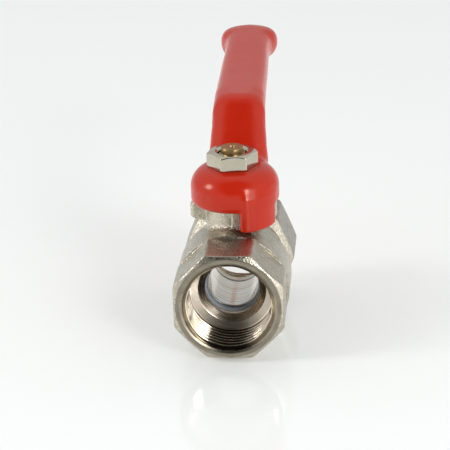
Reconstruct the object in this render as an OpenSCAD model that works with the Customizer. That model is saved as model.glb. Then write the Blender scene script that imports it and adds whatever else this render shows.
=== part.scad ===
// Two-piece ball valve, 3/4 inch, female by female, with a cast lever, shown open.
// Flow runs along Y with the inlet at -Y, and the stem stands along +Z.
// The origin is the centre of the ball, where the flow axis and the stem axis cross.

/* [Ends] */
// Width across the flats of both octagons
octagon_af = 31.6; // [31.4:0.1:32]
// Distance from the stem axis to the inlet end face
inlet_len = 27.7; // [27.5:0.1:28.5]
// Distance from the stem axis to the outlet end face
outlet_len = 28.8; // [28.6:0.1:29.6]
// Outer radius of the turned ring on each end face
face_ring_r = 15.1; // [14.8:0.1:15.4]
// Radius of the lead-in chamfer at each mouth
lead_in_r = 14; // [13.8:0.1:14.4]

/* [Threads] */
// Crest radius of the 3/4 inch parallel pipe thread
thread_crest_r = 12.06; // [12:0.01:12.1]
// Root radius of the 3/4 inch parallel pipe thread
thread_root_r = 13.22; // [13.2:0.01:13.3]
// Depth of each mouth from its end face to the end of the thread
mouth_depth = 12.45; // [12:0.05:12.5]

/* [Body] */
// Outer radius of the round middle of the body
drum_r = 16.9; // [16.6:0.1:17]
// Radius of the stem boss
boss_r = 8; // [7.8:0.1:8.3]
// Height of the top of the stem boss above the flow axis
boss_top = 22.4; // [22.2:0.1:22.6]
// Distance from the stem axis to the outer end of each stop ear
ear_reach = 12.3; // [12:0.1:12.6]
// Thickness of each stop ear along the flow axis
ear_w = 4.2; // [3.8:0.1:4.2]

/* [Ball and seats] */
// Radius of the ball
ball_r = 11.8; // [11.7:0.05:11.85]
// Radius of the hole through the ball
port_r = 7.35; // [7:0.05:7.5]
// Radius of the lip that each seat shows through
lip_r = 8.1; // [8:0.05:8.3]
// Inner radius of each seat
seat_bore_r = 7.7; // [7.6:0.05:7.8]
// Outer radius of each seat
seat_r = 10.6; // [10.4:0.05:10.6]

/* [Stem and nut] */
// Radius of the stem
stem_r = 3.95; // [3.9:0.01:3.96]
// Height of the top end of the stem
stem_top = 39.2; // [39:0.1:39.6]
// Width across the flats of the handle nut and the gland nut
nut_af = 13; // [12.8:0.1:13]
// Height of the handle nut
nut_h = 4.5; // [4.2:0.1:4.6]
// Angle that the handle nut happened to be tightened to
nut_turn = 7.8; // [0:0.1:60]

/* [Lever] */
// Radius of the cup-shaped hub
hub_r = 12.6; // [12.4:0.1:12.8]
// Sideways offset of the hub casting from the stem axis
hub_shift = 0.4; // [0:0.1:0.5]
// Height of the rim of the hub
hub_rim = 23; // [22.9:0.1:23.4]
// Height of the flat top of the hub, where the nut sits
hub_top = 33.5; // [33.4:0.1:33.6]
// Outer radius of the stop skirt
skirt_r = 12.9; // [12.7:0.1:13.2]
// Height of the lower edge of the stop skirt
skirt_foot = 17.5; // [17.4:0.1:18.5]
// Length of the lever from the stem axis to its tip
lever_len = 98.5; // [96:0.5:102]
// Half width of the grip
grip_half_w = 7.3; // [6.8:0.1:7.8]
// Half width of the flared end of the grip
flare_half_w = 9.6; // [9:0.1:10.2]
// Angle of the lever casting to the flow axis, seen from above
lever_skew = 1.3; // [0:0.1:1.5]

/* [Hidden] */
$fn = 96;

// Clearance between static pieces that are pushed or screwed together
gap = 0.05;
// Octagon corner radius, and the angle that turns a flat to the top
octagon_r = octagon_af / 2 / cos(22.5);
flat_up = 22.5;
// Axial depth of the wrench chamfer at each end of an octagon
end_chamfer = 1.2;
// Where the octagon runs into the drum, and where the drum ends
drum_start = -16;
drum_end = 1;
neck_r = 15.3;
neck_end = 9.6;
// Places along the flow axis inside the body, counted from the stem axis
cone_depth = 2.35;
lip_end = 11;
seat_end = 6.9;
chamber_r = 12.4;
seal_start = 5.6;
spigot_r = 13.5;
cap_octagon_start = 12.1;
relief_w = 1.2;
// Heights along the stem
collar_r = 5.3;
collar_foot = 12.15;
collar_top = 13.75;
washer_top = 14.25;
groove_foot = 14.95;
groove_top = 16.25;
groove_r = 2.75;
o_ring_r = 0.6;
packing_foot = 16.8;
packing_r = 6.1;
packing_h = 1.75;
gland_foot = 20.4;
gland_head_foot = boss_top + 0.05;
gland_head_h = 2.8;
tang_w = 7.4;
tang_t = 3;
tang_foot = 8.75;
slot_foot = 8.6;
drive_af = 6;
stem_thread_pitch = 1.25;
stem_thread_r = 3.3;
stem_neck_r = 2.9;
stem_end_r = 3.25;
bore_fit = 0.07;
// Hub and skirt
hub_ceiling = 28.2;
hub_wall = 2.4;
skirt_wall = 2.1;
skirt_from = -76;
skirt_to = -13;

nickel = [0.62, 0.6, 0.56];
chrome_color = [0.85, 0.86, 0.88];
ptfe = [0.86, 0.9, 0.94];
brass = [0.72, 0.56, 0.3];
red_paint = [0.8, 0.12, 0.09];
bright_nickel = [0.76, 0.77, 0.72];
rubber_color = [0.08, 0.08, 0.08];

// Points of an arc, with the angles in degrees
function arc(cx, cy, r, from, to, steps) =
    [for (i = [0:steps]) let (at = from + (to - from) * i / steps) [cx + r * cos(at), cy + r * sin(at)]];

// Turns a profile of radius and distance about the flow axis
module about_flow(profile) {
    rotate([-90, 0, 0]) rotate_extrude() polygon(profile);
}

// Turns a profile of radius and height about the stem axis
module about_stem(profile) {
    rotate_extrude() polygon(profile);
}

module disc(r, foot, top) {
    translate([0, 0, foot]) cylinder(r = r, h = top - foot);
}

module ring(outer_r, inner_r, foot, top) {
    difference() {
        disc(outer_r, foot, top);
        disc(inner_r, foot - 1, top + 1);
    }
}

module octagon_bar(from, to, turn) {
    translate([0, from, 0]) rotate([-90, 0, 0]) rotate([0, 0, turn])
        cylinder(r = octagon_r, h = to - from, $fn = 8);
}

// Hollow of a threaded end that opens towards +Y, with its end face at face.
// The threaded stretch is a plain hole at the crest radius, with a relief groove at its inner end.
module threaded_mouth(face) {
    mouth_end = face - mouth_depth;
    about_flow([[0, seal_start], [lip_r, seal_start], [lip_r, mouth_end - cone_depth],
        [thread_crest_r, mouth_end],
        [thread_root_r, mouth_end + relief_w / 3], [thread_root_r, mouth_end + relief_w * 2 / 3],
        [thread_crest_r, mouth_end + relief_w], [thread_crest_r, face - lead_in_r + thread_crest_r],
        [lead_in_r, face], [lead_in_r + 1, face + 1], [0, face + 1]]);
}

// Pocket that holds a seat, on the +Y side
module seat_pocket(from, to) {
    about_flow([[0, from], [seat_r + gap, from], [seat_r + gap, to], [0, to]]);
}

module seat() {
    difference() {
        about_flow([[seat_bore_r, seat_end], [seat_r, seat_end], [seat_r, lip_end - gap],
            [seat_bore_r, lip_end - gap]]);
        sphere(r = ball_r + 0.06);
    }
}

module hex_nut(foot, height, hole_r, sink_r, sink_h) {
    corner_r = nut_af / 2 / cos(30);
    chamfer_r = nut_af / 2 - 0.15;
    chamfer_h = (corner_r - chamfer_r) * tan(30);
    top = foot + height;
    difference() {
        intersection() {
            translate([0, 0, foot]) cylinder(r = corner_r, h = height, $fn = 6);
            about_stem([[0, foot], [corner_r - 0.4, foot], [corner_r, foot + 0.25],
                [corner_r, top - chamfer_h], [chamfer_r, top], [0, top]]);
        }
        about_stem([[0, foot - 1], [hole_r, foot - 1], [hole_r, top - sink_h], [sink_r, top],
            [sink_r, top + 1], [0, top + 1]]);
    }
}

module stop_ears() {
    foot = 16.5;
    tip_foot = 17.7;
    rotate([90, 0, 0]) linear_extrude(height = ear_w, center = true)
        polygon([[-ear_reach, tip_foot], [-boss_r, foot], [boss_r, foot], [ear_reach, tip_foot],
            [ear_reach, boss_top], [-ear_reach, boss_top]]);
}

// Raised pad on the front of the boss, half hidden by the skirt
module boss_pad() {
    pad_from = 0.4;
    pad_w = 4.6;
    pad_front = 8.7;
    translate([pad_from, -pad_front, drum_r - 4]) cube([pad_w, pad_front, boss_top - drum_r + 4]);
}

module body_shell() {
    intersection() {
        octagon_bar(-inlet_len, drum_start + 1, flat_up);
        about_flow([[0, -inlet_len], [face_ring_r, -inlet_len], [octagon_r + 0.2, end_chamfer - inlet_len],
            [octagon_r + 0.2, drum_start + 1], [0, drum_start + 1]]);
    }
    about_flow([[0, drum_start - 1.2], [octagon_af / 2 - 0.4, drum_start - 1.2], [drum_r, drum_start],
        [drum_r, drum_end], [neck_r, drum_end + 3], [neck_r, neck_end], [0, neck_end]]);
    disc(boss_r, 8, boss_top);
    stop_ears();
    boss_pad();
}

module body() {
    color(nickel) difference() {
        body_shell();
        mirror([0, 1, 0]) threaded_mouth(inlet_len);
        mirror([0, 1, 0]) seat_pocket(-1, lip_end);
        about_flow([[0, -seat_end], [chamber_r, -seat_end], [chamber_r, seal_start], [spigot_r, seal_start],
            [spigot_r, neck_end + 1], [0, neck_end + 1]]);
        disc(collar_r + 0.15, 8, washer_top + gap);
        disc(stem_r + bore_fit, 12, boss_top);
        disc(packing_r, packing_foot, boss_top + 1);
    }
}

module end_cap() {
    color(nickel) difference() {
        intersection() {
            octagon_bar(seat_end, outlet_len, 0);
            about_flow([[0, seat_end], [spigot_r - gap, seat_end], [spigot_r - gap, neck_end + gap],
                [neck_r, neck_end + gap], [octagon_r + 0.2, cap_octagon_start],
                [octagon_r + 0.2, outlet_len - end_chamfer], [face_ring_r, outlet_len], [0, outlet_len]]);
        }
        threaded_mouth(outlet_len);
        seat_pocket(seat_end - 1, lip_end);
    }
}

module ball() {
    color(chrome_color) difference() {
        sphere(r = ball_r, $fn = 128);
        about_flow([[0, -ball_r - 1], [port_r, -ball_r - 1], [port_r, ball_r + 1], [0, ball_r + 1]]);
        translate([-ball_r, -tang_t / 2 - gap, slot_foot]) cube([2 * ball_r, tang_t + 2 * gap, ball_r]);
    }
}

module inlet_seat() {
    color(ptfe) mirror([0, 1, 0]) seat();
}

module outlet_seat() {
    color(ptfe) seat();
}

module body_seal() {
    color(ptfe) about_flow([[chamber_r + 0.1, seal_start + gap], [spigot_r - gap, seal_start + gap],
        [spigot_r - gap, seat_end - gap], [chamber_r + 0.1, seat_end - gap]]);
}

module stem() {
    thread_foot = hub_top;
    thread_turns_up = 3;
    thread_end = thread_foot + stem_thread_pitch * thread_turns_up + 0.2;
    root_part = 0.14;
    dimple_r = 0.9;
    color(brass) {
        intersection() {
            translate([-tang_w / 2, -tang_t / 2, tang_foot])
                cube([tang_w, tang_t, collar_foot - tang_foot + 0.5]);
            disc(stem_r, tang_foot, collar_foot + 0.5);
        }
        about_stem([[0, collar_foot], [collar_r, collar_foot], [collar_r, collar_top], [stem_r, collar_top],
            [stem_r, groove_foot], [groove_r, groove_foot], [groove_r, groove_top], [stem_r, groove_top],
            [stem_r, hub_ceiling - gap], [0, hub_ceiling - gap]]);
        intersection() {
            disc(stem_r, hub_ceiling - 1, hub_top);
            translate([-drive_af / 2, -10, hub_ceiling - 1]) cube([drive_af, 20, 10]);
        }
        about_stem(concat([[0, thread_foot - 0.5], [stem_neck_r, thread_foot - 0.5],
            [stem_neck_r, thread_foot + 0.1]],
            [for (i = [0:thread_turns_up - 1]) each [
                [stem_thread_r, thread_foot + stem_thread_pitch * (i + root_part / 2) + 0.1],
                [stem_r, thread_foot + stem_thread_pitch * (i + 0.5 - root_part / 2) + 0.1],
                [stem_r, thread_foot + stem_thread_pitch * (i + 0.5 + root_part / 2) + 0.1],
                [stem_thread_r, thread_foot + stem_thread_pitch * (i + 1 - root_part / 2) + 0.1]]],
            [[stem_end_r, thread_end], [stem_end_r, stem_top - 0.4], [stem_end_r - 0.4, stem_top],
                [dimple_r, stem_top], [0, stem_top - 0.8]]));
    }
}

module thrust_washer() {
    color(ptfe) ring(collar_r, stem_r + bore_fit, collar_top + 0.02, washer_top);
}

module stem_o_ring() {
    color(rubber_color) translate([0, 0, (groove_foot + groove_top) / 2])
        rotate_extrude() translate([stem_r - o_ring_r, 0]) circle(r = o_ring_r, $fn = 32);
}

module packing_ring(foot) {
    color(ptfe) ring(packing_r - gap, stem_r + bore_fit, foot, foot + packing_h);
}

module packing_ring_lower() {
    packing_ring(packing_foot + gap);
}

module packing_ring_upper() {
    packing_ring(packing_foot + gap + packing_h + 0.02);
}

module gland_nut() {
    color(brass) {
        ring(packing_r - gap, stem_r + bore_fit, gland_foot, gland_head_foot + 0.2);
        hex_nut(gland_head_foot, gland_head_h, stem_r + bore_fit, stem_r + bore_fit + 0.4, 0.4);
    }
}

// Outline of the lever seen from the side: distance along it, then height
module lever_side() {
    tip = lever_len;
    polygon([[7.5, 30], [7.5, 33.2], [9, 34.4], [18.5, 44.6], [21.5, 46.9], [25.5, 48.1], [78, 48.6],
        [84, 49.4], [90, 50.4], [tip - 4, 50.5], [tip - 1.2, 49.2], [tip, 46.4], [tip - 0.3, 43.4],
        [tip - 2.2, 41], [tip - 6, 39.9], [84, 40.3], [78, 40.6], [36, 40.4], [30, 39.6], [26, 37.4],
        [16, 28.2], [12.5, 25.5], [8, 25.5]]);
}

// Outline of the lever seen from above, one half: half width, then distance along it
function lever_half() = [[8.9, 4], [8.7, 10], [8, 16], [grip_half_w + 0.3, 24], [grip_half_w, 60],
    [grip_half_w, lever_len - 19.5], [grip_half_w + 0.9, lever_len - 14], [flare_half_w, lever_len - 9],
    [flare_half_w, lever_len - 6], [flare_half_w - 0.9, lever_len - 2.9],
    [flare_half_w - 3, lever_len - 0.7], [flare_half_w - 5.5, lever_len]];

// Channel along the underside of the grip, cored out of the casting
module grip_channel() {
    channel_from = 40;
    channel_to = lever_len - 13;
    channel_r = grip_half_w - 2.6;
    channel_roof = 44.4;
    translate([-channel_r, channel_from, channel_roof - 8])
        cube([2 * channel_r, channel_to - channel_from, 8]);
    for (along = [channel_from, channel_to])
        translate([0, along, channel_roof - 8]) cylinder(r = channel_r, h = 8);
}

// Lever set at its slight angle to the flow axis
module lever_arm() {
    half = lever_half();
    last = len(half) - 1;
    translate([1.4, 0, 0]) rotate([0, 0, lever_skew]) difference() {
        intersection() {
            rotate([90, 0, 90]) linear_extrude(height = 40, center = true) lever_side();
            linear_extrude(height = 60)
                polygon(concat(half, [for (i = [last:-1:0]) [-half[i][0], half[i][1]]]));
        }
        grip_channel();
    }
}

module hub_outside() {
    shoulder_r = 6;
    translate([hub_shift, 0, 0]) about_stem(concat([[0, hub_rim], [hub_r - 0.8, hub_rim]],
        arc(hub_r - 1, hub_rim + 0.9, 0.9, -50, 0, 3),
        arc(hub_r - shoulder_r + 0.2, hub_top - shoulder_r, shoulder_r, 0, 90, 10),
        [[0, hub_top]]));
}

module stop_skirt() {
    rotate([0, 0, skirt_from]) rotate_extrude(angle = skirt_to - skirt_from)
        polygon([[skirt_r - skirt_wall, skirt_foot], [skirt_r - 0.5, skirt_foot],
            [skirt_r, skirt_foot + 0.5], [skirt_r, hub_rim + 3], [skirt_r - skirt_wall, hub_rim + 3]]);
}

module handle() {
    color(red_paint) difference() {
        union() {
            hub_outside();
            stop_skirt();
            lever_arm();
        }
        about_stem([[0, hub_rim - 8], [hub_r - hub_wall, hub_rim - 8], [hub_r - hub_wall, hub_ceiling - 1],
            [hub_r - hub_wall - 1, hub_ceiling], [0, hub_ceiling]]);
        intersection() {
            disc(stem_r + 0.03, hub_ceiling - 1, hub_top + 1);
            translate([-drive_af / 2 - 0.03, -10, hub_ceiling - 1]) cube([drive_af + 0.06, 20, 10]);
        }
    }
}

module handle_nut() {
    color(bright_nickel) rotate([0, 0, nut_turn]) hex_nut(hub_top + 0.02, nut_h, stem_r + 0.02, 4.8, 0.9);
}

body();
end_cap();
ball();
inlet_seat();
outlet_seat();
body_seal();
stem();
thrust_washer();
stem_o_ring();
packing_ring_lower();
packing_ring_upper();
gland_nut();
handle();
handle_nut();
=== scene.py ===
import math

import bpy
import numpy as np
from mathutils import Matrix, Vector


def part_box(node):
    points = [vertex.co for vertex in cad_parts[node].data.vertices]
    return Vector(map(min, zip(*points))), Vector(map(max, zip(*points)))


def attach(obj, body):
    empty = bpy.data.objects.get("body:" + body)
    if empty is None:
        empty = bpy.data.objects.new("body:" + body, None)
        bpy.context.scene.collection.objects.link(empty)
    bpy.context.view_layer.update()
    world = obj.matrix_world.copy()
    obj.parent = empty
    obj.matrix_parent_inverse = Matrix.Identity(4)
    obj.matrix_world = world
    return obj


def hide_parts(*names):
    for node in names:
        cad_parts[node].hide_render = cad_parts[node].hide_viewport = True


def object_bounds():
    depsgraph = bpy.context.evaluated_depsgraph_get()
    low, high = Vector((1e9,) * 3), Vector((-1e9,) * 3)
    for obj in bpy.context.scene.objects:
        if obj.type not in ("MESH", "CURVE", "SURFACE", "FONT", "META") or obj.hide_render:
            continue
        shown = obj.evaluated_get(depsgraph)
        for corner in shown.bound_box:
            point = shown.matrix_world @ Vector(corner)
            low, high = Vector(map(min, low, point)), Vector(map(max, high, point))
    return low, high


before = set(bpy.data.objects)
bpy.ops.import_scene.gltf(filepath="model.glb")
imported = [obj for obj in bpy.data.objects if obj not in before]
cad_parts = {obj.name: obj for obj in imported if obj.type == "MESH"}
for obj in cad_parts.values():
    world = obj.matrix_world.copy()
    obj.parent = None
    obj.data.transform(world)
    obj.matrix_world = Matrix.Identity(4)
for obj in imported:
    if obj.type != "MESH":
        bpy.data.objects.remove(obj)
cad_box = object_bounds()

# ---------------------------------------------------------------- sizes, in millimetres
MM = 1000.0


def box_mm(node):
    """Lowest and highest corner of a CAD node."""
    low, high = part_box(node)
    return np.array(low) * MM, np.array(high) * MM


BODY_LOW, BODY_HIGH = box_mm("body")
CAP_LOW, CAP_HIGH = box_mm("end_cap")
BALL_HIGH = box_mm("ball")[1]
SEAT_LOW, SEAT_HIGH = box_mm("outlet_seat")
STEM_LOW, STEM_HIGH = box_mm("stem")
HANDLE_LOW = box_mm("handle")[0]
NUT_LOW, NUT_HIGH = box_mm("handle_nut")
WASHER_TOP = box_mm("thrust_washer")[1][2]

# Clearance between pieces that fit into each other
GAP = 0.05

# Guards against division by zero
TINY, SMALL = 1e-12, 1e-9

# Widths over which two surfaces blend, which rounds an edge or fillets a corner
FINE_EDGE, CRISP_EDGE, PLAIN_EDGE, SOFT_EDGE, ROUND_EDGE = 0.15, 0.2, 0.25, 0.3, 0.5

# Octagonal ends
FLAT = 15.8
FLAT_DRAFT = 0.004
CORNER_BLEND = 0.6
HALF_CORNER = math.pi / 8
CORNER_REACH = FLAT / math.cos(HALF_CORNER) + 0.2
FACE_RING_R = 15.1
WRENCH_CHAMFER = 1.2
INLET_FACE = BODY_LOW[1]
OUTLET_FACE = CAP_HIGH[1]

# Pipe threads and mouths, measured inwards from each end face
CREST_R = 12.06
ROOT_R = 13.22
PIPE_PITCH = 1.814
THREAD_SHARPNESS = 0.5
THREAD_FILL = 1.05
LEAD_IN_R, LEAD_IN_SLOPE = 14.0, 1.5
MOUTH_DEPTH = 12.45
RELIEF_W, RELIEF_EDGE = 1.2, 0.3
STEP_R, STEP_DEPTH = 9.95, 0.75
LIP_R, CONE_DEPTH = 8.1, 2.35
LIP_END = 11.0
LIP_OVERLAP = 0.02

# Radius of the mouth against depth past the thread: open before it, then a cone in two slopes
CONE_STEPS = ([-1, 0, STEP_DEPTH, CONE_DEPTH], [CREST_R + 3, CREST_R, STEP_R, LIP_R])

# A threaded field rises more steeply than a distance, so it is scaled down
THREAD_SCALE = 0.7

# Body
DRUM_START, DRUM_END = -14.0, 0.0
DRUM_R = 16.7
DRUM_RISE_W, DRUM_FALL_W = 0.5, 1.2
END_OVERLAP = 1.0
NECK_R = 14.4
NECK_END = BODY_HIGH[1]
CHAMBER_R = 12.4
SPIGOT_R = 13.5
SPIGOT_START, SPIGOT_END = 5.6, 12.0
SEAT_R = SEAT_HIGH[0]
SEAT_BORE_R = 7.7
SEAT_END = SEAT_LOW[1]
CAP_CONE_END = 12.1

# Top of the body: the stem's boss, two stop ears and a pad under the skirt
BOSS_R = 8.0
BOSS_FOOT, BOSS_TOP = 8.0, BODY_HIGH[2]
EAR_REACH, EAR_HALF_W = 12.7, 2.1
EAR_FOOT, EAR_TIP_FOOT = 16.5, 17.7
EAR_TIP_BLEND, EAR_EDGE, EAR_FILLET = 1.4, 0.9, 0.8
PAD_LEFT, PAD_RIGHT, PAD_FRONT = 0.1, 5.0, -8.9
PAD_CORNER = 0.35
TOP_FILLET = 1.8

# Ball and stem. The ball's box ends at the rims of its port.
PORT_R = 7.35
BALL_R = math.hypot(BALL_HIGH[1], PORT_R)
BALL_GAP = 0.06
SLOT_FOOT = 8.6
SLOT_HALF = 1.55
STEM_R = 3.95
STEM_HOLE_R, STEM_HOLE_FOOT = STEM_R + 0.07, 12.0
COLLAR_R = 5.3
COLLAR_FOOT, COLLAR_TOP = 12.15, 13.75
COLLAR_HOLE_R = COLLAR_R + 0.3
GROOVE_R = 2.75
GROOVE_FOOT, GROOVE_TOP = 14.95, 16.25
PACKING_R, PACKING_FOOT = 6.1, 16.8
TANG_HALF_T, TANG_HALF_W = 1.5, 3.7
TANG_OVERLAP = 0.5
STEM_PITCH = 1.25
STEM_THREAD_MIDDLE, STEM_THREAD_HALF = STEM_R - 0.33, 0.36
STEM_CREST_R = STEM_R - 0.02
STEM_THREAD_TOP = 37.5
STEM_END_R = 3.25
DIMPLE_R = 0.9

# Hub of the lever, with the flats that the stem drives
HUB_R, HUB_SHIFT = 12.95, 0.55
HUB_RIM, HUB_TOP = 22.6, NUT_LOW[2] - 0.02
HUB_RIM_BLEND = 2.0
HUB_SHOULDER = 6.0
HUB_FILLET = 2.4
HUB_CAVITY_R, HUB_CEILING = 10.2, 28.2
CAVITY_BLEND = 1.2
DRIVE_HALF, DRIVE_CLEAR = 3.0, 0.03
DRIVE_FOOT = HUB_CEILING - 1
STEM_THREAD_FOOT = HUB_TOP - 0.6

# Stop skirt, from one angle about the stem to another
SKIRT_R, SKIRT_WALL, SKIRT_SHIFT = 13.1, 2.3, 0.85
SKIRT_FOOT, SKIRT_TOP = HANDLE_LOW[2] - 0.4, 31.0
SKIRT_FROM, SKIRT_TO = math.radians(-78), math.radians(-13)
SKIRT_FADE, SKIRT_SINK = 4.0, 1.0
SKIRT_EDGE, SKIRT_SIDE_BLEND, SKIRT_FILLET = 0.8, 2.4, 0.6

# Lever
LEVER_SHIFT, LEVER_SKEW = 0.97, math.radians(1.3)
LEVER_HEEL, LEVER_TIP = 7.0, 98.5
HEEL_BLEND, TIP_BLEND, SIDE_BLEND = 2.0, 9.0, 1.5
CHANNEL_R, CHANNEL_CEILING = 4.7, 44.4
CHANNEL_FROM, CHANNEL_TO = 40.0, LEVER_TIP - 13
CHANNEL_BLEND, CHANNEL_EDGE = 1.5, 1.0

# Lever outlines: distance along it, then height, half width or the blend between top and sides
LEVER_TOP = [(6, 31.5), (9, 34.4), (14, 39.8), (18, 44.1), (20.3, 46.4), (21.8, 47.4), (24, 47.9),
             (29, 48.05), (45, 48.4), (70, 49.4), (86, 50.2), (93, 50.48), (99, 50.4)]
LEVER_UNDERSIDE = [(6, 25.5), (12.5, 25.5), (16, 28.2), (26, 37.4), (30, 39.6), (36, 40.4), (78, 40.6),
                   (84, 40.3), (92.5, 39.9), (99, 40)]
LEVER_HALF_WIDTH = [(4, 9.9), (10, 9.6), (16, 8.8), (24, 7.95), (60, 7.45), (76, 7.2), (84, 7.6),
                    (89.5, 9.25), (93, 9.75), (99, 9.6)]
LEVER_ROUNDING = ([10, 20, 30, 76, 90], [8, 7, 4.5, 4.2, 5.5])

# Handle nut: its chamfers, and the sink and clearance at the top of its hole
NUT_FLAT, NUT_TURN = 6.5, math.radians(7.8)
NUT_CHAMFER = math.radians(30)
NUT_TOP_R, NUT_FOOT_R = NUT_FLAT - 0.15, NUT_FLAT + 0.6
NUT_FOOT_SLOPE, NUT_FOOT_SCALE = 0.6, 0.85
NUT_EDGE = 0.1
SINK_R, SINK_DEPTH = 4.8, 0.9
NUT_THREAD_GAP, NUT_OPEN_GAP, NUT_OPEN_DEPTH = 0.02, 0.3, 2.5


# ---------------------------------------------------------------- distance fields
# Each field takes x, y and z arrays in millimetres. It is negative inside the piece.
def smooth_max(a, b, width):
    """Larger of two distances, blended over a width, which rounds an edge."""
    mix = np.clip(0.5 + 0.5 * (a - b) / width, 0, 1)
    return b + (a - b) * mix + width * mix * (1 - mix)


def smooth_min(a, b, width):
    """Smaller of two distances, blended over a width, which fillets a corner."""
    return -smooth_max(-a, -b, width)


def between(value, low, high, width=0.0):
    """Distance to a slab between two planes."""
    if width:
        return smooth_max(value - high, low - value, width)
    return np.maximum(value - high, low - value)


def octagon(x, z, turn):
    """Distance to an octagonal bar along Y with one flat at the given turn."""
    c, s = math.cos(turn), math.sin(turn)
    across, up = np.abs(c * x - s * z), np.abs(s * x + c * z)
    diagonal = (across + up) / math.sqrt(2)
    return smooth_max(smooth_max(across, up, CORNER_BLEND), diagonal, CORNER_BLEND) - FLAT


def cone(r, y, r_at, y_at, dr, dy):
    """Distance to a cone through (r_at, y_at) that rises dr over dy, outwards from the Y axis."""
    length = math.hypot(dr, dy)
    return ((r - r_at) * dy - (y - y_at) * dr) * math.copysign(1, dy) / length


def wrench_chamfer(r, y, face):
    """Distance to the chamfer cone of an octagonal end, and to its end face."""
    rise = (CORNER_REACH - FACE_RING_R) * math.copysign(1, -face)
    slope = cone(r, y, FACE_RING_R, face, rise, WRENCH_CHAMFER)
    return smooth_max(slope, y * math.copysign(1, face) - abs(face), CRISP_EDGE)


def helix(x, z, y, pitch):
    """Profile of a right-handed thread with rounded crests along y, from -1 at the root to 1."""
    wave = np.cos(2 * math.pi * y / pitch - np.arctan2(x, z))
    return np.arcsin(THREAD_SHARPNESS * wave) / math.asin(THREAD_SHARPNESS)


def mouth(x, y, z, face):
    """Distance into the threaded mouth, its relief, cone and lip."""
    r = np.hypot(x, z)
    depth = abs(face) - y * math.copysign(1, face)
    middle, half = (CREST_R + ROOT_R) / 2, (ROOT_R - CREST_R) / 2
    wall = np.maximum(middle - THREAD_FILL * half * helix(x, z, y, PIPE_PITCH), CREST_R)
    relief_start = MOUTH_DEPTH - RELIEF_W
    relief_depths = [relief_start - RELIEF_EDGE, relief_start + RELIEF_EDGE, MOUTH_DEPTH]
    wall = np.maximum(wall, np.interp(depth, relief_depths, [CREST_R, ROOT_R, ROOT_R]))
    wall = np.maximum(wall, LEAD_IN_R - depth * LEAD_IN_SLOPE)
    wall = np.minimum(wall, np.interp(depth - MOUTH_DEPTH, *CONE_STEPS))
    return np.maximum((r - wall) * THREAD_SCALE, depth - (abs(face) - LIP_END) - LIP_OVERLAP)


def body_shell(x, y, z):
    """Outside of the body: octagonal end, drum and neck, with the top added."""
    r = np.hypot(x, z)
    draft = (y - INLET_FACE) * FLAT_DRAFT
    end = smooth_max(octagon(x, z, 0) - draft, wrench_chamfer(r, y, INLET_FACE), PLAIN_EDGE)
    end = np.maximum(end, y - DRUM_START - END_OVERLAP)
    rise = cone(r, y, DRUM_R, DRUM_START, DRUM_R - FLAT, DRUM_RISE_W)
    fall = cone(r, y, DRUM_R, DRUM_END, NECK_R - DRUM_R, DRUM_FALL_W)
    drum = smooth_max(smooth_max(r - DRUM_R, rise, FINE_EDGE), fall, PLAIN_EDGE)
    length = between(y, DRUM_START, NECK_END, CRISP_EDGE)
    shape = smooth_min(end, smooth_max(drum, length, CRISP_EDGE), FINE_EDGE)
    shape = np.minimum(shape, smooth_max(r - NECK_R, length, CRISP_EDGE))
    return add_top(shape, x, y, z)


def add_top(shape, x, y, z):
    """Adds the stem boss, the stop ears and the pad, with their cast fillets."""
    boss = smooth_max(np.hypot(x, y) - BOSS_R, between(z, BOSS_FOOT, BOSS_TOP), ROUND_EDGE)
    slope = (EAR_TIP_FOOT - EAR_FOOT) / (EAR_REACH - BOSS_R)
    foot = EAR_FOOT + np.maximum(np.abs(x) - BOSS_R, 0) * slope
    ears = smooth_max(np.abs(y) - EAR_HALF_W, np.abs(x) - EAR_REACH, EAR_TIP_BLEND)
    ears = smooth_max(ears, smooth_max(z - BOSS_TOP, foot - z, ROUND_EDGE), EAR_EDGE)
    pad = between(x, PAD_LEFT, PAD_RIGHT, ROUND_EDGE)
    pad = smooth_max(pad, between(y, PAD_FRONT, 0), PAD_CORNER)
    pad = smooth_max(pad, between(z, BOSS_FOOT, BOSS_TOP), ROUND_EDGE)
    top = smooth_min(smooth_min(boss, ears, EAR_FILLET), pad, SOFT_EDGE)
    return smooth_min(shape, top, TOP_FILLET)


def body(x, y, z):
    """The shell less its mouth, seat pocket, ball chamber, spigot socket and stem hole."""
    r, round_stem = np.hypot(x, z), np.hypot(x, y)
    hollow = mouth(x, y, z, INLET_FACE)
    hollow = np.minimum(hollow, np.maximum(r - SEAT_R - GAP, -LIP_END - y))
    hollow = np.minimum(hollow, np.maximum(r - CHAMBER_R, -SEAT_END - y))
    hollow = np.minimum(hollow, np.maximum(r - SPIGOT_R, SPIGOT_START - y))
    collar_hole = np.maximum(round_stem - COLLAR_HOLE_R, between(z, BOSS_FOOT, WASHER_TOP + GAP))
    hollow = np.minimum(hollow, collar_hole)
    hollow = np.minimum(hollow, np.maximum(round_stem - STEM_HOLE_R, STEM_HOLE_FOOT - z))
    hollow = np.minimum(hollow, np.maximum(round_stem - PACKING_R, PACKING_FOOT - z))
    return smooth_max(body_shell(x, y, z), -hollow, FINE_EDGE)


def end_cap(x, y, z):
    """The rear octagon with its front cone and spigot, less its mouth and seat pocket."""
    r = np.hypot(x, z)
    head = smooth_max(octagon(x, z, HALF_CORNER), wrench_chamfer(r, y, OUTLET_FACE), PLAIN_EDGE)
    start = NECK_END + GAP
    front = cone(r, y, NECK_R, start, CORNER_REACH - NECK_R, CAP_CONE_END - NECK_END)
    head = smooth_max(head, smooth_max(front, start - y, CRISP_EDGE), PLAIN_EDGE)
    spigot = np.maximum(r - SPIGOT_R + GAP, between(y, CAP_LOW[1], SPIGOT_END))
    hollow = np.minimum(mouth(x, y, z, OUTLET_FACE), np.maximum(r - SEAT_R - GAP, y - LIP_END))
    return smooth_max(np.minimum(head, spigot), -hollow, FINE_EDGE)


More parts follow.
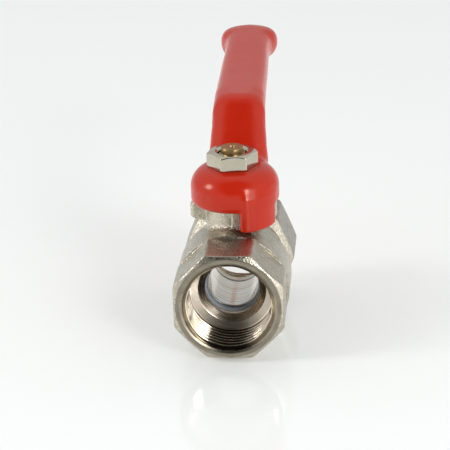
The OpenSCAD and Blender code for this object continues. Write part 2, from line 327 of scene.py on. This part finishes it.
def ball(x, y, z):
    """A ball bored along Y, with a slot for the stem's tang."""
    sphere = np.sqrt(x * x + y * y + z * z) - BALL_R
    bored = smooth_max(sphere, PORT_R - np.hypot(x, z), ROUND_EDGE)
    slot = np.maximum(np.abs(y) - SLOT_HALF, SLOT_FOOT - z)
    return smooth_max(bored, -slot, PLAIN_EDGE)


def seat(x, y, z):
    """The seat at the outlet, which is also the inlet's once y is mirrored."""
    r = np.hypot(x, z)
    ring = between(r, SEAT_BORE_R, SEAT_R, FINE_EDGE)
    ring = smooth_max(ring, between(y, SEAT_END, SEAT_HIGH[1], FINE_EDGE), SOFT_EDGE)
    return smooth_max(ring, BALL_R + BALL_GAP - np.sqrt(r * r + y * y), FINE_EDGE)


def mirrored_seat(x, y, z):
    """The seat at the inlet."""
    return seat(x, -y, z)


def stem(x, y, z):
    """Tang, collar, grooved shaft, drive flats, thread and dimpled tip, from the foot up."""
    r = np.hypot(x, y)
    tang = smooth_max(np.abs(y) - TANG_HALF_T, np.abs(x) - TANG_HALF_W, SOFT_EDGE)
    tang = smooth_max(tang, between(z, STEM_LOW[2], COLLAR_FOOT + TANG_OVERLAP), SOFT_EDGE)
    shape = np.minimum(tang, smooth_max(r - COLLAR_R, between(z, COLLAR_FOOT, COLLAR_TOP), SOFT_EDGE))
    groove = np.maximum(GROOVE_R - r, between(z, GROOVE_FOOT, GROOVE_TOP))
    shaft = smooth_max(r - STEM_R, between(z, COLLAR_FOOT, HUB_CEILING - GAP), CRISP_EDGE)
    shape = np.minimum(shape, smooth_max(shaft, -groove, CRISP_EDGE))
    drive = smooth_max(r - STEM_R, np.abs(x) - DRIVE_HALF, CRISP_EDGE)
    shape = np.minimum(shape, np.maximum(drive, between(z, DRIVE_FOOT, HUB_TOP)))
    thread_r = STEM_THREAD_MIDDLE + STEM_THREAD_HALF * helix(y, x, z, STEM_PITCH)
    threads = (r - np.minimum(thread_r, STEM_CREST_R)) * THREAD_SCALE
    shape = np.minimum(shape, np.maximum(threads, between(z, STEM_THREAD_FOOT, STEM_THREAD_TOP)))
    tip = smooth_max(r - STEM_END_R, between(z, HUB_TOP, STEM_HIGH[2]), PLAIN_EDGE)
    dimple = np.sqrt(r * r + (z - STEM_HIGH[2]) ** 2) - DIMPLE_R
    return smooth_max(np.minimum(shape, tip), -dimple, CRISP_EDGE)


def smooth_line(points, count=600):
    """A smooth line through points, sampled for np.interp, with the cosine of its slope."""
    along, value = np.array(points, float).T
    rise = np.diff(value) / np.diff(along)
    before, after = np.append(rise[0], rise), np.append(rise, rise[-1])
    slope = np.where(before * after > 0, 2 * before * after / (before + after + SMALL), 0)
    at = np.linspace(along[0], along[-1], count)
    i = np.clip(np.searchsorted(along, at) - 1, 0, len(along) - 2)
    span = along[i + 1] - along[i]
    t = (at - along[i]) / span
    start = (2 * t**3 - 3 * t**2 + 1) * value[i] + (t**3 - 2 * t**2 + t) * span * slope[i]
    end = (3 * t**2 - 2 * t**3) * value[i + 1] + (t**3 - t**2) * span * slope[i + 1]
    line = start + end
    return at, line, 1 / np.hypot(1, np.gradient(line, at))


TOP_LINE = smooth_line(LEVER_TOP)
UNDER_LINE = smooth_line(LEVER_UNDERSIDE)
WIDTH_LINE = smooth_line(LEVER_HALF_WIDTH)


def line_at(line, along):
    """Value of a smooth line, and the cosine of its slope."""
    return np.interp(along, line[0], line[1]), np.interp(along, line[0], line[2])


def lever_arm(x, y, z):
    """The arm from heel to tip, between its outlines, with a channel along its underside."""
    c, s = math.cos(LEVER_SKEW), math.sin(LEVER_SKEW)
    across = c * (x - LEVER_SHIFT) + s * y
    along = c * y - s * (x - LEVER_SHIFT)
    top, top_cos = line_at(TOP_LINE, along)
    under, under_cos = line_at(UNDER_LINE, along)
    half, half_cos = line_at(WIDTH_LINE, along)
    plan = smooth_max((np.abs(across) - half) * half_cos, along - LEVER_TIP, TIP_BLEND)
    side = smooth_max((z - top) * top_cos, (under - z) * under_cos, SIDE_BLEND)
    arm = smooth_max(plan, side, np.interp(along, *LEVER_ROUNDING))
    arm = smooth_max(arm, LEVER_HEEL - along, HEEL_BLEND)
    reach = np.hypot(across, along - np.clip(along, CHANNEL_FROM, CHANNEL_TO))
    channel = smooth_max(reach - CHANNEL_R, z - CHANNEL_CEILING, CHANNEL_BLEND)
    return smooth_max(arm, -channel, CHANNEL_EDGE)


def dome(x, y, z, radius):
    """Distance to the hub's dome: a cylinder about the Z axis with a round shoulder."""
    out, up = np.hypot(x, y) - radius + HUB_SHOULDER, z - HUB_TOP + HUB_SHOULDER
    beyond = np.hypot(np.maximum(out, 0), np.maximum(up, 0))
    return beyond + np.minimum(np.maximum(out, up), 0) - HUB_SHOULDER


def stop_skirt(x, y, z):
    """The skirt is a rib that follows the dome down and fades out on its shoulder."""
    fade = np.clip((SKIRT_TOP - z) / SKIRT_FADE, 0, 1) ** 2
    outside = dome(x, y + SKIRT_SHIFT, z, SKIRT_R - SKIRT_SINK) - fade
    inside = SKIRT_R - SKIRT_WALL - np.hypot(x, y)
    before = x * math.sin(SKIRT_FROM) - y * math.cos(SKIRT_FROM)
    beyond = y * math.cos(SKIRT_TO) - x * math.sin(SKIRT_TO)
    sector = np.maximum(before, beyond)
    wall = smooth_max(smooth_max(outside, inside, SKIRT_EDGE), sector, SKIRT_SIDE_BLEND)
    return smooth_max(wall, SKIRT_FOOT - z, SKIRT_EDGE)


def handle(x, y, z):
    """Hub and arm in one casting, hollow below, with the skirt and the stem's drive hole."""
    r = np.hypot(x, y)
    hub = smooth_max(dome(x - HUB_SHIFT, y, z, HUB_R), HUB_RIM - z, HUB_RIM_BLEND)
    shape = smooth_min(hub, lever_arm(x, y, z), HUB_FILLET)
    cavity = smooth_max(r - HUB_CAVITY_R, z - HUB_CEILING, CAVITY_BLEND)
    shape = smooth_max(shape, -cavity, ROUND_EDGE)
    shape = smooth_min(shape, stop_skirt(x, y, z), SKIRT_FILLET)
    hole = smooth_max(r - STEM_R - DRIVE_CLEAR, np.abs(x) - DRIVE_HALF - DRIVE_CLEAR, CRISP_EDGE)
    return smooth_max(shape, -np.maximum(hole, DRIVE_FOOT - z), CRISP_EDGE)


def hexagon(x, y, turn):
    """Distance to a hexagonal bar along Z."""
    c, s = math.cos(turn), math.sin(turn)
    u, v = np.abs(c * x + s * y), np.abs(c * y - s * x)
    return smooth_max(v, (v + math.sqrt(3) * u) / 2, PLAIN_EDGE) - NUT_FLAT


def handle_nut(x, y, z):
    """A hexagon nut, chamfered above and below, with a countersunk hole."""
    r, low, high = np.hypot(x, y), NUT_LOW[2], NUT_HIGH[2]
    top = ((z - high) + (r - NUT_TOP_R) * math.tan(NUT_CHAMFER)) * math.cos(NUT_CHAMFER)
    foot = ((low - z) + (r - NUT_FOOT_R) * NUT_FOOT_SLOPE) * NUT_FOOT_SCALE
    shape = smooth_max(hexagon(x, y, NUT_TURN), smooth_max(top, foot, NUT_EDGE), CRISP_EDGE)
    shape = smooth_max(shape, between(z, low, high), CRISP_EDGE)
    sink = SINK_R - (high - z) * (SINK_R - STEM_R) / SINK_DEPTH
    gap = np.where(z > high - NUT_OPEN_DEPTH, NUT_OPEN_GAP, NUT_THREAD_GAP)
    return smooth_max(shape, np.maximum(sink, STEM_R + gap) - r, FINE_EDGE)


# ---------------------------------------------------------------- meshes from fields
# Coarse blocks are this many cells wide, and are refined within this many blocks of the surface
BLOCK, BLOCK_REACH = 4, 2.2

# How slopes are measured, the least squared slope to divide by, and the passes onto the surface
SLOPE_REACH = 0.02
SLOPE_FLOOR = 0.05
SETTLING_PASSES = 3
CORNERS = np.array([(i, j, k) for i in (0, 1) for j in (0, 1) for k in (0, 1)])
EDGES = [(a, b) for a in range(8) for b in range(a + 1, 8) if np.abs(CORNERS[a] - CORNERS[b]).sum() == 1]


def sampled(field, low, high, step):
    """The field on a grid, evaluated finely only in blocks near the surface."""
    blocks = [int(math.ceil((h - l) / (step * BLOCK))) for l, h in zip(low, high)]
    middles = [l + (np.arange(n) + 0.5) * step * BLOCK for l, n in zip(low, blocks)]
    coarse = field(*np.meshgrid(*middles, indexing="ij"))
    near = np.abs(coarse) < step * BLOCK * BLOCK_REACH
    values = coarse
    for axis in range(3):
        values = np.repeat(values, BLOCK, axis)
        near = np.repeat(near, BLOCK, axis)
    places = [l + np.arange(n * BLOCK) * step for l, n in zip(low, blocks)]
    i, j, k = np.nonzero(near)
    values[near] = field(places[0][i], places[1][j], places[2][k])
    return values


def net_vertices(values, low, step):
    """One vertex in each grid cell that the surface crosses, and the cell's index."""
    inside = values < 0
    count = sum(inside[tuple(slice(o, n - 1 + o) for o, n in zip(c, inside.shape))].astype(np.int8)
                for c in CORNERS)
    cells = np.argwhere((count > 0) & (count < 8))
    corner = [values[tuple((cells + c).T)] for c in CORNERS]
    total, found = np.zeros((len(cells), 3)), np.zeros((len(cells), 1))
    for a, b in EDGES:
        crossed = ((corner[a] < 0) != (corner[b] < 0))[:, None]
        t = np.where(crossed[:, 0], corner[a] / (corner[a] - corner[b] + TINY), 0)[:, None]
        total += crossed * (CORNERS[a] + t * (CORNERS[b] - CORNERS[a]))
        found += crossed
    index = np.full(count.shape, -1, np.int64)
    index[tuple(cells.T)] = np.arange(len(cells))
    return np.array(low) + (cells + total / found) * step, index


def net_quads(values, index):
    """Quads across every grid edge that the surface crosses, wound outwards."""
    inside = values < 0
    quads = []
    for axis in range(3):
        b, c = (axis + 1) % 3, (axis + 2) % 3
        size = inside.shape[axis]
        first, second = inside.take(range(size - 1), axis), inside.take(range(1, size), axis)
        at = np.argwhere(first != second)
        at = at[(at[:, b] > 0) & (at[:, c] > 0) & (at[:, b] < index.shape[b]) & (at[:, c] < index.shape[c])]
        ring = []
        for back_b, back_c in ((1, 1), (0, 1), (0, 0), (1, 0)):
            cell = at.copy()
            cell[:, b] -= back_b
            cell[:, c] -= back_c
            ring.append(index[tuple(cell.T)])
        ring = np.stack(ring, 1)
        leaves = first[tuple(at.T)]
        ring[~leaves] = ring[~leaves][:, ::-1]
        quads.append(ring)
    return np.concatenate(quads)


def gradient(field, points):
    """Gradient of a field at points, by central differences."""
    sides = []
    for axis in range(3):
        offset = np.zeros(3)
        offset[axis] = SLOPE_REACH
        rise = field(*(points + offset).T) - field(*(points - offset).T)
        sides.append(rise / (2 * SLOPE_REACH))
    return np.stack(sides, 1)


def settled(field, points, step):
    """The points, moved onto the surface, and the surface's normals there."""
    for _ in range(SETTLING_PASSES):
        slope = gradient(field, points)
        move = field(*points.T) / np.maximum((slope**2).sum(1), SLOPE_FLOOR)
        move = np.clip(move, -step / 2, step / 2)
        points = points - slope * move[:, None]
    slope = gradient(field, points)
    return points, slope / np.maximum(np.linalg.norm(slope, axis=1), SMALL)[:, None]


def add_object(name, data):
    """A new object in the scene."""
    made = bpy.data.objects.new(name, data)
    bpy.context.scene.collection.objects.link(made)
    return made


def surface(name, field, low, high, step):
    """A closed mesh object of the field's surface inside a box."""
    step = step * 1
    low, high = np.array(low) - 2 * step, np.array(high) + 2 * step
    values = sampled(field, low, high, step)
    points, index = net_vertices(values, low, step)
    quads = net_quads(values, index)
    points, normals = settled(field, points, step)
    mesh = bpy.data.meshes.new(name)
    mesh.vertices.add(len(points))
    mesh.vertices.foreach_set("co", (points / MM).astype(np.float32).ravel())
    mesh.loops.add(quads.size)
    mesh.loops.foreach_set("vertex_index", quads.astype(np.int32).ravel())
    mesh.polygons.add(len(quads))
    mesh.polygons.foreach_set("loop_start", np.arange(0, quads.size, 4, dtype=np.int32))
    mesh.polygons.foreach_set("use_smooth", np.ones(len(quads), bool))
    mesh.update(calc_edges=True)
    mesh.normals_split_custom_set_from_vertices(normals)
    return add_object(name, mesh)


def finish_regions(piece, materials, choose):
    """Gives each face the material whose number choose returns for the face's centre."""
    for material in materials:
        piece.data.materials.append(material)
    centres = np.zeros(len(piece.data.polygons) * 3, np.float32)
    piece.data.polygons.foreach_get("center", centres)
    picked = choose(*(centres.reshape(-1, 3).T * MM)).astype(np.int32)
    piece.data.polygons.foreach_set("material_index", picked)


# ---------------------------------------------------------------- materials
# Noise mostly lies between these two values
NOISE_LOW, NOISE_HIGH = 0.3, 0.7

FORGED_DARK, FORGED_LIGHT = (0.35, 0.315, 0.255), (0.52, 0.48, 0.4)
# The two thread colours are raised above the other nickel's as painted light for the mouth; the darkest
# colour is painted shade for the thread roots.
THREAD_LIGHT, THREAD_DARK, ROOT_SHADE = (0.86, 0.75, 0.61), (0.72, 0.62, 0.49), (0.17, 0.13, 0.085)
# Radii over which the painted shade in the thread roots comes in, from none to full
ROOT_SHADE_FROM, ROOT_SHADE_TO = CREST_R + 0.05, CREST_R + 0.75
CHROME_STAIN = [(0.35, (0.55, 0.47, 0.37)), (0.5, (0.71, 0.68, 0.62)), (0.65, (0.74, 0.76, 0.78))]


def set_stops(color_ramp, stops):
    """Sets a colour ramp's stops from (place, colour or grey level) pairs in rising order."""
    while len(color_ramp.elements) < len(stops):
        color_ramp.elements.new(0.5)
    for element, (at, colour) in zip(color_ramp.elements, stops):
        element.position = at
        level = colour if isinstance(colour, tuple) else (colour,) * 3
        element.color = (*level, 1)


class Shader:
    """A Principled material, with short ways to add the nodes that vary it."""

    def __init__(self, name, **values):
        self.material = bpy.data.materials.new(name)
        self.material.use_nodes = True
        self.nodes = self.material.node_tree.nodes
        self.links = self.material.node_tree.links
        self.base = self.nodes["Principled BSDF"]
        for key, value in values.items():
            self.base.inputs[key.replace("_", " ")].default_value = value
        place = self.add("ShaderNodeTexCoord").outputs["Object"]
        scale = self.add("ShaderNodeVectorMath", operation="SCALE")
        scale.inputs["Scale"].default_value = MM
        self.links.new(place, scale.inputs[0])
        self.place = scale.outputs[0]

    def add(self, kind, **settings):
        """A new node with the given settings."""
        node = self.nodes.new(kind)
        for key, value in settings.items():
            setattr(node, key, value)
        return node

    def noise(self, size, detail=3, roughness=0.55, at=None):
        """Noise whose features are about size millimetres across."""
        node = self.add("ShaderNodeTexNoise")
        node.inputs["Scale"].default_value = 1 / size
        node.inputs["Detail"].default_value = detail
        node.inputs["Roughness"].default_value = roughness
        self.links.new(at or self.place, node.inputs["Vector"])
        return node.outputs["Fac"]

    def about_axis(self, axis):
        """Place as radius from an axis and distance along it, for turning marks."""
        split = self.add("ShaderNodeSeparateXYZ")
        self.links.new(self.place, split.inputs[0])
        across = [name for name in "XYZ" if name != axis]
        flat = self.add("ShaderNodeCombineXYZ")
        for name, socket in zip(across, ("X", "Y")):
            self.links.new(split.outputs[name], flat.inputs[socket])
        radius = self.add("ShaderNodeVectorMath", operation="LENGTH")
        self.links.new(flat.outputs[0], radius.inputs[0])
        joined = self.add("ShaderNodeCombineXYZ")
        self.links.new(radius.outputs["Value"], joined.inputs["X"])
        self.links.new(split.outputs[axis], joined.inputs["Y"])
        return joined.outputs[0]

    def ramp(self, source, stops, target):
        """Maps a 0 to 1 value to a colour or grey level on a socket of the shader."""
        node = self.add("ShaderNodeValToRGB")
        set_stops(node.color_ramp, stops)
        self.links.new(source, node.inputs[0])
        self.links.new(node.outputs[0], self.base.inputs[target])

    def vary(self, target, low, high, noise):
        """Varies a socket of the shader with noise, mostly from low to high."""
        self.ramp(noise, [(NOISE_LOW, low), (NOISE_HIGH, high)], target)

    def bump(self, layers):
        """Bump from (height source, depth in millimetres) layers. Returns the material."""
        normal = None
        for source, depth in layers:
            node = self.add("ShaderNodeBump")
            node.inputs["Distance"].default_value = depth / MM
            self.links.new(source, node.inputs["Height"])
            if normal:
                self.links.new(normal, node.inputs["Normal"])
            normal = node.outputs[0]
        self.links.new(normal, self.base.inputs["Normal"])
        return self.material


def forged_nickel(name, tone, speckle, grain, waves):
    """Nickel over a blasted forging, with speckle, grain and waves of the given depths, and a tone that
    scales its colour: lowered on the end cap as painted shade, raised on the cast areas as painted light.
    """
    s = Shader(name, Metallic=1.0)
    dark = tuple(tone * level for level in FORGED_DARK)
    light = tuple(tone * level for level in FORGED_LIGHT)
    s.vary("Base Color", dark, light, s.noise(2.5, 6, 0.65))
    s.vary("Roughness", 0.24, 0.36, s.noise(0.8, 2))
    return s.bump([(s.noise(0.25, 1), speckle), (s.noise(0.5, 1), grain), (s.noise(2.5, 2), waves)])


def turned_nickel(name, light, dark, rough, grain):
    """Nickel over turned brass, with fine marks round the flow axis."""
    s = Shader(name, Metallic=1.0)
    s.vary("Base Color", dark, light, s.noise(3, 3))
    marks = s.noise(0.3, 1, at=s.about_axis("Y"))
    s.vary("Roughness", rough, rough + 0.08, marks)
    return s.bump([(marks, 0.004), (s.noise(0.9, 1), grain)])


def threaded_nickel():
    """Nickel on the pipe threads, with painted shade darkening them towards their roots."""
    s = Shader("nickel_bore", Metallic=1.0)
    spot = s.about_axis("Y")
    split = s.add("ShaderNodeSeparateXYZ")
    s.links.new(spot, split.inputs[0])
    depth = s.add("ShaderNodeMapRange")
    depth.inputs["From Min"].default_value = ROOT_SHADE_FROM
    depth.inputs["From Max"].default_value = ROOT_SHADE_TO
    s.links.new(split.outputs["X"], depth.inputs["Value"])
    # Noise less the depth into the thread, which paints shade into the roots
    root_shaded = s.add("ShaderNodeMath", operation="SUBTRACT")
    s.links.new(s.noise(3, 3), root_shaded.inputs[0])
    s.links.new(depth.outputs["Result"], root_shaded.inputs[1])
    shades = [(0, ROOT_SHADE), (NOISE_LOW, THREAD_LIGHT), (NOISE_HIGH, THREAD_DARK)]
    s.ramp(root_shaded.outputs[0], shades, "Base Color")
    s.vary("Roughness", 0.08, 0.16, s.noise(0.3, 1, at=spot))
    return s.bump([(s.noise(0.9, 1), 0.003)])


def ball_chrome():
    """Chrome with rings of faint stain round the port."""
    s = Shader("ball_chrome", Metallic=1.0)
    marks = s.noise(0.6, 2, at=s.about_axis("Y"))
    s.ramp(marks, CHROME_STAIN, "Base Color")
    s.vary("Roughness", 0.12, 0.22, s.noise(4, 2))
    return s.bump([(marks, 0.05)])


def ptfe():
    """White fluoropolymer, greyed by the shade it sits in, with turning marks."""
    s = Shader("ptfe_white", Roughness=0.35)
    s.vary("Base Color", (0.44, 0.51, 0.59), (0.52, 0.59, 0.66), s.noise(2.5, 3))
    return s.bump([(s.noise(0.25, 2, at=s.about_axis("Y")), 0.01)])


def bare_brass():
    """Unplated brass with turning marks round the stem's axis."""
    s = Shader("brass_turned", Metallic=1.0)
    s.vary("Base Color", (0.3, 0.2, 0.09), (0.48, 0.34, 0.17), s.noise(1.5, 3))
    marks = s.noise(0.2, 2, at=s.about_axis("Z"))
    s.vary("Roughness", 0.24, 0.42, marks)
    return s.bump([(marks, 0.01), (s.noise(0.6, 3), 0.01)])


def red_paint():
    """Semi-gloss red paint with a slightly uneven surface."""
    s = Shader("paint_red")
    s.base.inputs["Specular IOR Level"].default_value = 0.42
    s.base.inputs["Specular Tint"].default_value = (1, 0.85, 0.7, 1)
    s.vary("Base Color", (0.56, 0.018, 0.005), (0.61, 0.024, 0.007), s.noise(9, 3))
    s.vary("Roughness", 0.17, 0.23, s.noise(2.5, 3))
    return s.bump([(s.noise(1.8, 2), 0.006), (s.noise(7, 2), 0.04)])


def nut_plating():
    """Bright nickel over steel."""
    s = Shader("nickel_bright", Metallic=1.0)
    s.vary("Base Color", (0.51, 0.47, 0.375), (0.59, 0.545, 0.44), s.noise(3, 3))
    s.vary("Roughness", 0.08, 0.14, s.noise(1.5, 3))
    return s.bump([(s.noise(1.2, 2), 0.004)])


def seal_rubber():
    """Black rubber with a fine grain."""
    s = Shader("rubber_black", Roughness=0.55)
    s.vary("Base Color", (0.02, 0.02, 0.02), (0.045, 0.045, 0.045), s.noise(0.8, 3))
    return s.bump([(s.noise(0.4, 2), 0.01)])


FORGED = forged_nickel("nickel_forged", tone=1.12, speckle=0.02, grain=0.1, waves=0.1)
# The end cap's tone is lower than the body's, which is painted shade
FORGED_CAP = forged_nickel("nickel_forged_cap", tone=0.72, speckle=0.02, grain=0.1, waves=0.1)
# The cast areas' tone is higher than the body's, which is painted light on the boss, ears, pad and the
# cap's front cone
CAST = forged_nickel("nickel_cast", tone=1.42, speckle=0.14, grain=0.12, waves=0.1)
# The turned rings' nickel is darkened to stand in for the dark surroundings they reflect, which is painted
# shade
TURNED = turned_nickel("nickel_turned", (0.34, 0.305, 0.24), (0.26, 0.228, 0.178), 0.26, 0.04)
BORE = threaded_nickel()
CONE = turned_nickel("nickel_cone", (0.6, 0.525, 0.43), (0.49, 0.42, 0.335), 0.2, 0.01)
PTFE = ptfe()
BRASS = bare_brass()

# Areas of the body and the end cap, in the order of their materials
FORGED_AREA, RING_AREA, THREAD_AREA, CAST_AREA, CONE_AREA = range(5)

# Where one area ends and the next starts
INSIDE_R, INSIDE_TOP = LEAD_IN_R + 0.05, 14.0
RING_R, RING_DEPTH = FACE_RING_R + 0.1, 0.4
CONE_R = CREST_R - 0.1
CAST_R = DRUM_R + 0.15
CAST_CAP_END = CAP_CONE_END - 0.5


def areas(r, ring, inside, cast):
    """Area of each face, from its radius and from which parts it lies in."""
    outside = np.where(cast, CAST_AREA, FORGED_AREA)
    bore = np.where(r < CONE_R, CONE_AREA, THREAD_AREA)
    return np.where(ring, RING_AREA, np.where(inside, bore, outside))


def body_areas(x, y, z):
    """Areas of the body. Its boss, ears and pad are the cast part."""
    r = np.hypot(x, z)
    ring = (y < INLET_FACE + RING_DEPTH) & (r < RING_R)
    inside = (r < INSIDE_R) & (z < INSIDE_TOP)
    return areas(r, ring, inside, (r > CAST_R) & (y > DRUM_START))


def cap_areas(x, y, z):
    """Areas of the end cap. Its front cone is the cast part."""
    r = np.hypot(x, z)
    ring = (y > OUTLET_FACE - RING_DEPTH) & (r < RING_R)
    return areas(r, ring, r < INSIDE_R, y < CAST_CAP_END)


# ---------------------------------------------------------------- pieces
def place(piece, node, rides_on, slot):
    """Makes a piece stand for a CAD node on its body. The slot is not used."""
    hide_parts(node)
    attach(piece, rides_on)


def build_pieces():
    """Remakes the nodes that can be seen. The numbers are mesh steps in millimetres."""
    nickel = [TURNED, BORE, CAST, CONE]
    shapes = [
        ("body", body, 0.25, "valve_body", "nickel_plating", [FORGED] + nickel, body_areas),
        ("end_cap", end_cap, 0.25, "valve_body", "nickel_plating", [FORGED_CAP] + nickel, cap_areas),
        ("ball", ball, 0.25, "ball", "ball_chrome", [ball_chrome()], None),
        ("inlet_seat", mirrored_seat, 0.2, "valve_body", "ptfe", [PTFE], None),
        ("outlet_seat", seat, 0.2, "valve_body", "ptfe", [PTFE], None),
        ("stem", stem, 0.15, "lever", "bare_brass", [BRASS], None),
        ("handle", handle, 0.3, "lever", "red_paint", [red_paint()], None),
        ("handle_nut", handle_nut, 0.15, "lever", "nut_plating", [nut_plating()], None),
    ]
    for node, field, step, rides_on, slot, materials, choose in shapes:
        low, high = box_mm(node)
        piece = surface(node + "_finished", field, low, high, step)
        if choose:
            finish_regions(piece, materials, choose)
        else:
            piece.data.materials.append(materials[0])
        place(piece, node, rides_on, slot)


def finish_hidden_nodes():
    """The seals and packing keep their CAD shapes and get the same finishes."""
    finishes = {"body_seal": PTFE, "thrust_washer": PTFE, "packing_ring_lower": PTFE,
                "packing_ring_upper": PTFE, "gland_nut": BRASS, "stem_o_ring": seal_rubber()}
    for name, material in finishes.items():
        for material_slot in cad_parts[name].material_slots:
            material_slot.material = material


# ---------------------------------------------------------------- studio
CAMERA_YAW, CAMERA_PITCH, CAMERA_ROLL = math.radians(5.4), math.radians(21.4), math.radians(1.9)
CAMERA_AIM = Vector((-0.0032, 0.0047, 0.0128))
CAMERA_DISTANCE = 0.52
CAMERA_LENS = 139.5

FLOOR_REACH = 6.0
FLOOR_DARK, FLOOR_LIGHT = (0.86, 0.875, 0.87), (0.88, 0.89, 0.885)
FLOOR_PATCH = 400
FLOOR_GLOSS, FLOOR_GLOW, FLOOR_GLOW_COLOUR = 0.42, 0.235, (0.98, 1, 0.99, 1)

# Tent shades by their angle in degrees from the middle of the opening
TENT_OPENING = Vector((0.02, -0.74, 0.67))
TENT_NARROWING = (1.1, 1, 1)
TENT_SHADES = [(125, (0.62, 0.63, 0.625)), (56, (0.88, 0.895, 0.89)), (27, (0.02, 0.02, 0.018))]

# Lights: name, place, width, depth and power in watts
LIGHT_AIM = Vector((0, 0, 0.02))
LIGHTS = [
    ("left_box", (-0.85, -0.25, 0.45), 0.26, 0.3, 2.6),
    ("right_box", (0.53, -0.72, 0.42), 0.24, 0.24, 2.3),
    ("front_box", (0.78, -0.78, 0.3), 0.6, 0.5, 2),
]


def build_camera():
    """The camera as it was fitted to the photo."""
    level = math.cos(CAMERA_PITCH)
    ahead = Vector((-math.sin(CAMERA_YAW) * level, math.cos(CAMERA_YAW) * level, -math.sin(CAMERA_PITCH)))
    right = Vector((math.cos(CAMERA_YAW), math.sin(CAMERA_YAW), 0))
    up = right.cross(ahead)
    side = math.cos(CAMERA_ROLL) * right - math.sin(CAMERA_ROLL) * up
    head = math.sin(CAMERA_ROLL) * right + math.cos(CAMERA_ROLL) * up
    data = bpy.data.cameras.new("camera")
    data.lens = CAMERA_LENS
    camera = add_object("camera", data)
    turn = Matrix((side, head, -ahead)).transposed().to_4x4()
    camera.matrix_world = Matrix.Translation(CAMERA_AIM - ahead * CAMERA_DISTANCE) @ turn
    bpy.context.scene.camera = camera


def area_light(name, spot, width, depth, power):
    """A rectangular light that points at the valve."""
    data = bpy.data.lights.new(name, "AREA")
    data.shape = "RECTANGLE"
    data.size, data.size_y = width, depth
    data.energy = power
    light = add_object(name, data)
    light.location = spot
    light.rotation_euler = (LIGHT_AIM - Vector(spot)).to_track_quat("-Z", "Y").to_euler()


def build_floor():
    """A glossy white floor that glows a little, at the height of the valve's lowest point."""
    low, reach = cad_box[0], FLOOR_REACH
    mesh = bpy.data.meshes.new("floor")
    corners = [(-reach, -reach), (reach, -reach), (reach, reach), (-reach, reach)]
    mesh.from_pydata([(x, y, low.z) for x, y in corners], [], [(0, 1, 2, 3)])
    floor = add_object("floor", mesh)
    s = Shader("floor_white", Roughness=0.1)
    s.base.inputs["Specular IOR Level"].default_value = FLOOR_GLOSS
    s.vary("Base Color", FLOOR_DARK, FLOOR_LIGHT, s.noise(FLOOR_PATCH, 2))
    s.base.inputs["Emission Color"].default_value = FLOOR_GLOW_COLOUR
    s.base.inputs["Emission Strength"].default_value = FLOOR_GLOW
    mesh.materials.append(s.material)


def build_world():
    """A white tent with a dark opening in front and above, where the camera stands."""
    world = bpy.data.worlds.new("studio")
    bpy.context.scene.world = world
    world.use_nodes = True
    nodes, links = world.node_tree.nodes, world.node_tree.links

    def step(kind, operation, source):
        """A node that works on the source's value."""
        node = nodes.new(kind)
        node.operation = operation
        links.new(source, node.inputs[0])
        return node

    where = nodes.new("ShaderNodeTexCoord").outputs["Generated"]
    narrowed = step("ShaderNodeVectorMath", "MULTIPLY", where)
    narrowed.inputs[1].default_value = TENT_NARROWING
    direction = step("ShaderNodeVectorMath", "NORMALIZE", narrowed.outputs[0])
    towards = step("ShaderNodeVectorMath", "DOT_PRODUCT", direction.outputs[0])
    towards.inputs[1].default_value = TENT_OPENING.normalized()
    fraction = step("ShaderNodeMath", "MULTIPLY_ADD", towards.outputs["Value"])
    fraction.inputs[1].default_value = 0.5
    fraction.inputs[2].default_value = 0.5
    ramp = nodes.new("ShaderNodeValToRGB")
    ramp.color_ramp.interpolation = "EASE"
    stops = [(0.5 + 0.5 * math.cos(math.radians(angle)), colour) for angle, colour in TENT_SHADES]
    set_stops(ramp.color_ramp, stops)
    links.new(fraction.outputs[0], ramp.inputs[0])
    links.new(ramp.outputs[0], nodes["Background"].inputs["Color"])


def build_studio():
    """Camera, floor, tent and lights."""
    bpy.context.scene.view_settings.view_transform = "Standard"
    build_camera()
    build_floor()
    build_world()
    for light in LIGHTS:
        area_light(*light)


build_pieces()
finish_hidden_nodes()
build_studio()
